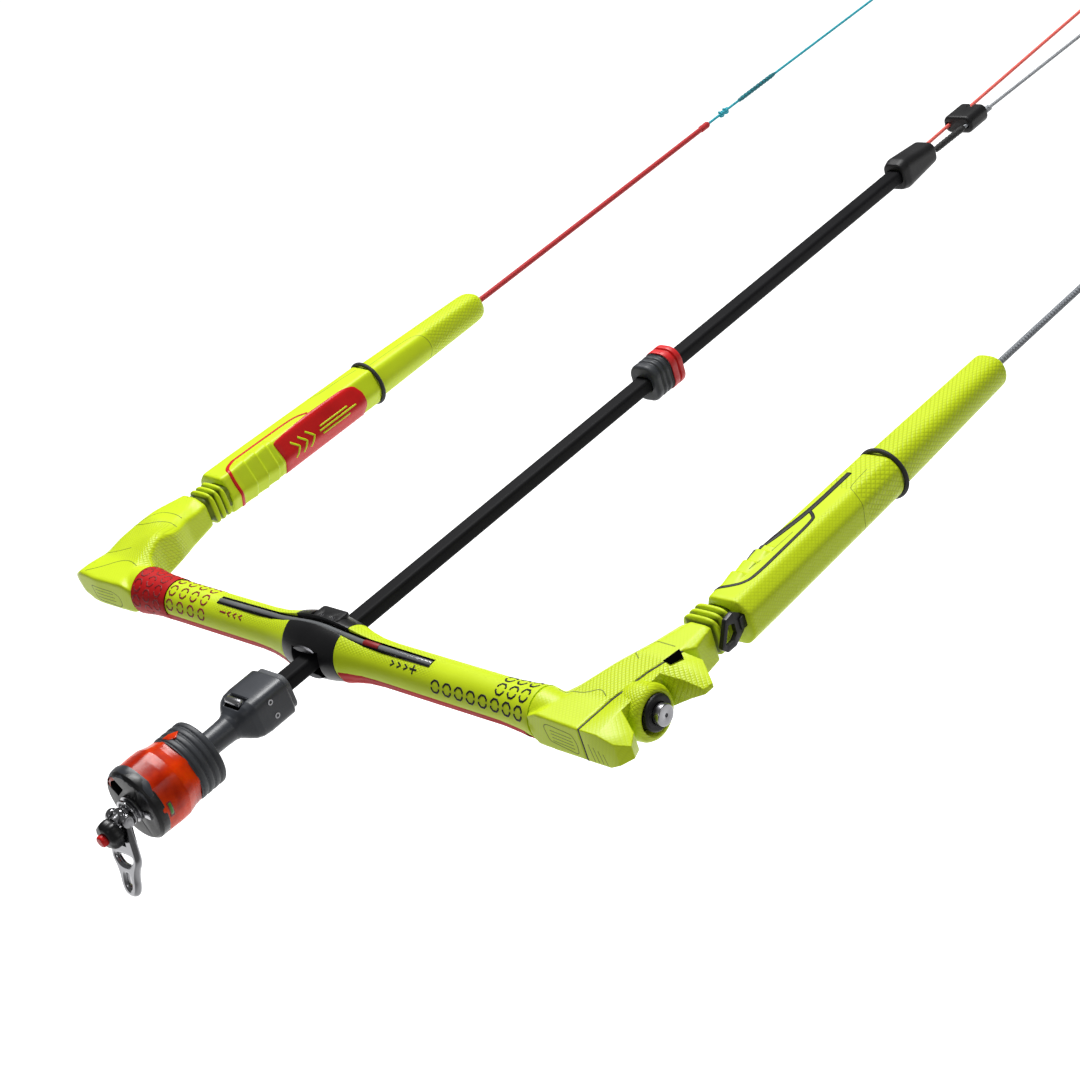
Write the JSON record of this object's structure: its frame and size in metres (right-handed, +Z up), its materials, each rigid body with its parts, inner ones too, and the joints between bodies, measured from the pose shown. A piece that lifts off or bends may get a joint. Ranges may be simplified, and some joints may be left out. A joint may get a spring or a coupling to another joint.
{
  "type": "kite control bar",
  "caption": "Kite control bar with hand grips, winch trim, end floats, sliding depower tube with stopper, quick release, leash shackle and line ends.",
  "frame": {"origin": "middle of the bar, on the axis of the depower tube", "axes": "+X along the bar to the winch end, +Y along the depower tube towards the kite, +Z up out of the plane of bar and tube"},
  "size_m": [0.5485, 1.242, 0.0699],
  "materials": {
    "black_plastic": "satin moulded nylon",
    "dark_plastic": "dark grey moulded nylon",
    "grey_plastic": "grey acetal",
    "lime_shell": "neon yellow-green moulded plastic with a fine diamond texture",
    "lime_grip": "neon yellow-green grip rubber with embossed hexagons",
    "lime_rubber": "neon yellow-green soft rubber",
    "lime_foam": "neon yellow-green closed-cell foam skin",
    "red_grip": "red grip rubber",
    "red_rubber": "red rubber",
    "red_plastic": "red glossy plastic",
    "black_rubber": "black rubber",
    "dark_rubber": "dark grey rubber",
    "carbon": "carbon-fibre tube",
    "tube_plastic": "black plastic-coated depower tube",
    "grey_hose": "glossy grey hose",
    "orange_plastic": "orange-red indicator sleeve",
    "orange_cover": "glossy orange-red cover",
    "steel": "polished stainless steel",
    "brushed_steel": "brushed stainless steel",
    "black_cord": "black bungee cord",
    "red_line": "braided red line",
    "grey_line": "braided grey line",
    "cyan_line": "braided cyan line"
  },
  "bodies": {
    "bar": {"centre_insert": "black_plastic", "insert_top_plate": "black_plastic", "insert_screws": "steel", "fairlead_lips": "steel", "core_tubes": "carbon", "grip_left": "lime_grip", "grip_right": "lime_grip", "grip_band_left": "red_grip", "under_strips": "red_grip", "trim_channel": "black_plastic", "trim_hose": "grey_hose", "shell_left_upper": "lime_shell", "shell_left_lower": "lime_shell", "shell_right_upper": "lime_shell", "shell_right_lower": "lime_shell", "shell_screws": "steel", "winch_cover": "lime_shell", "cover_gasket": "black_rubber", "ratchet_pawl": "steel", "pulley_pin": "steel", "bellows_left": "lime_rubber", "bellows_right": "lime_rubber"},
    "fairlead": {"fairlead_bush": "grey_plastic"},
    "depower_line": {"depower_tube": "tube_plastic", "tube_core_lines": "grey_line", "end_cap": "black_rubber", "line_separator": "black_rubber", "swivel_housing": "dark_plastic", "housing_collar": "grey_plastic", "housing_rivets": "steel", "line_roller": "steel", "front_line_left": "red_line", "front_line_right": "grey_line"},
    "stopper": {"stopper_body": "dark_rubber", "stopper_ring": "red_rubber"},
    "quick_release": {"swivel_stem": "dark_plastic", "release_body": "dark_plastic", "front_plate": "dark_plastic", "loop_pin": "steel"},
    "release_sleeve": {"sleeve_grip": "dark_rubber", "sleeve_cover": "orange_cover"},
    "leash_swivel": {"leash_rings": "brushed_steel"},
    "shackle": {"leash_shackle": "steel"},
    "shackle_cap": {"shackle_knob": "black_rubber"},
    "shackle_catch": {"shackle_button": "red_plastic"},
    "trim_knob": {"knob_ring": "black_rubber", "winch_spool": "grey_plastic", "ratchet_wheel": "steel"},
    "release_button": {"push_button": "brushed_steel"},
    "indicator": {"trim_indicator": "orange_plastic"},
    "turning_block": {"redirect_pulley": "grey_plastic"},
    "float_left": {"float_left": "lime_foam", "bungee_left": "black_cord", "buckle_left": "black_plastic", "leader_left": "red_line", "pigtail_left": "cyan_line"},
    "float_right": {"float_right": "lime_foam", "bungee_right": "black_cord", "buckle_right": "black_plastic", "leader_right": "grey_line"}
  },
  "joints": [
    {"name": "steering_tilt", "type": "hinge", "parent": "bar", "child": "fairlead", "pos_m": [0, 0, 0], "axis": [0, 0, 1], "range_deg": [-12, 12]},
    {"name": "sheeting", "type": "slide", "parent": "fairlead", "child": "depower_line", "axis": [0, 1, 0], "range_m": [-0.26, 0.015]},
    {"name": "stopper_slide", "type": "slide", "parent": "depower_line", "child": "stopper", "axis": [0, 1, 0], "range_m": [-0.04, 0.28]},
    {"name": "release_swivel", "type": "hinge", "parent": "depower_line", "child": "quick_release", "pos_m": [0, -0.09, 0], "axis": [0, 1, 0], "continuous": true},
    {"name": "sleeve_push", "type": "slide", "parent": "quick_release", "child": "release_sleeve", "axis": [0, 1, 0], "range_m": [0, 0.014], "stiffness_N_per_m": 600, "springref_m": -0.01},
    {"name": "leash_turn", "type": "hinge", "parent": "quick_release", "child": "leash_swivel", "pos_m": [0, -0.17, 0], "axis": [0, 1, 0], "continuous": true},
    {"name": "shackle_swing", "type": "hinge", "parent": "leash_swivel", "child": "shackle", "pos_m": [0, -0.1786, 0], "axis": [0.9973, 0, 0.0732], "range_deg": [0, 24]},
    {"name": "shackle_cap_turn", "type": "hinge", "parent": "leash_swivel", "child": "shackle_cap", "pos_m": [0, -0.188, -0.0045], "axis": [0, 1, 0], "range_deg": [0, 180]},
    {"name": "shackle_catch_press", "type": "slide", "parent": "shackle_cap", "child": "shackle_catch", "axis": [0, 1, 0], "range_m": [0, 0.0022], "stiffness_N_per_m": 400, "springref_m": -0.001},
    {"name": "trim_turn", "type": "hinge", "parent": "bar", "child": "trim_knob", "pos_m": [0.25, 0.024, 0], "axis": [1, 0, 0], "range_deg": [0, 280]},
    {"name": "button_press", "type": "slide", "parent": "trim_knob", "child": "release_button", "axis": [-1, 0, 0], "range_m": [0, 0.0026], "stiffness_N_per_m": 800, "springref_m": -0.001},
    {"name": "indicator_slide", "type": "slide", "parent": "bar", "child": "indicator", "axis": [0.9999, 0, -0.0154], "range_m": [0, 0.044]},
    {"name": "turning_block_spin", "type": "hinge", "parent": "bar", "child": "turning_block", "pos_m": [-0.2298, 0.009, 0.0012], "axis": [0, 0, 1], "range_deg": [0, 280]},
    {"name": "float_left_flex", "type": "hinge", "parent": "bar", "child": "float_left", "pos_m": [-0.2388, 0.107, 0], "axis": [0, 0, 1], "range_deg": [-8, 2], "stiffness_Nm_per_rad": 3},
    {"name": "float_right_flex", "type": "hinge", "parent": "bar", "child": "float_right", "pos_m": [0.2388, 0.107, 0], "axis": [0, 0, 1], "range_deg": [-2, 8], "stiffness_Nm_per_rad": 3}
  ],
  "couplings": [
    {"joint": "indicator_slide", "follows": "trim_turn", "m_per_rad": 0.009},
    {"joint": "turning_block_spin", "follows": "trim_turn", "ratio": 1}
  ]
}
